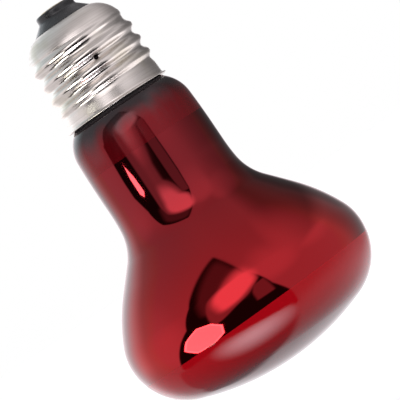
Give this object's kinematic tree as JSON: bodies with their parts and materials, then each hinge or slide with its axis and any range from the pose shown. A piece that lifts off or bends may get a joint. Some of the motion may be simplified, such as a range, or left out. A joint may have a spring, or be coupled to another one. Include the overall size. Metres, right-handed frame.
{
  "type": "heat lamp bulb",
  "caption": "Red mirrored reflector heat lamp bulb with a domed face, flared body, straight neck and nickel-plated E27 screw cap.",
  "frame": {"origin": "middle of the domed face, the lamp's lowest point when it hangs cap up in its holder", "axes": "+Z along the lamp's axis from the face to the cap, +Y towards the side solder, so the picture looks along +Y"},
  "size_m": [0.063, 0.063, 0.0976],
  "materials": {
    "red_mirrored_glass": "clear ruby red glass with a bright mirror coat inside, opaque",
    "nickel_plate": "bright rolled sheet, nickel plated",
    "black_glass": "black moulded glass, semi-gloss",
    "contact_brass": "stamped, dull",
    "solder": "dull grey solder",
    "cement": "dark baked basing cement",
    "copper_wire": "bare drawn wire"
  },
  "bodies": {
    "root": {"glass_envelope": "red_mirrored_glass", "screw_shell": "nickel_plate", "insulator": "black_glass", "contact_eyelet": "contact_brass", "contact_solder": "solder", "side_solder": "solder", "basing_cement": "cement", "contact_lead": "copper_wire", "side_lead": "copper_wire"}
  },
  "joints": []
}
